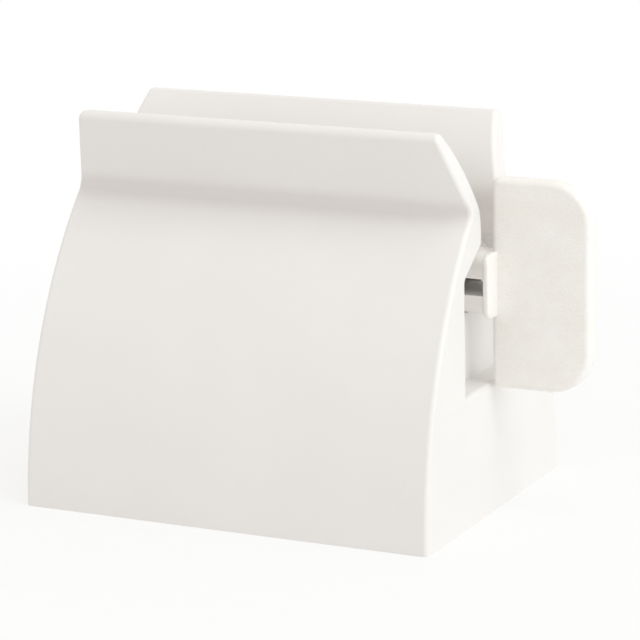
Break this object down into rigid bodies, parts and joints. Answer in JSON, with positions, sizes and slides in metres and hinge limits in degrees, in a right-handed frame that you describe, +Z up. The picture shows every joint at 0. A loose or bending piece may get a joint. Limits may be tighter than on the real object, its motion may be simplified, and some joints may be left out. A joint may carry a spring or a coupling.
{
  "type": "toothpaste tube squeezer",
  "caption": "Free-standing tube squeezer: a curved hollow body with a flared mouth, and a split winding rod turned by a flat flag handle.",
  "frame": {"origin": "on the counter, under the middle of body and key together", "axes": "+X along the key's axis towards its flag, +Z up, +Y to the rear"},
  "size_m": [0.0862, 0.053, 0.0617],
  "materials": {
    "body_plastic": "warm white moulded plastic, satin",
    "key_plastic": "warm white moulded plastic, fine grain"
  },
  "bodies": {
    "body": {"squeezer_body": "body_plastic"},
    "key": {"winding_key": "key_plastic"}
  },
  "joints": [
    {"name": "key_turn", "type": "hinge", "parent": "body", "child": "key", "pos_m": [0, 0, 0.0369], "axis": [1, 0, 0], "continuous": true}
  ]
}
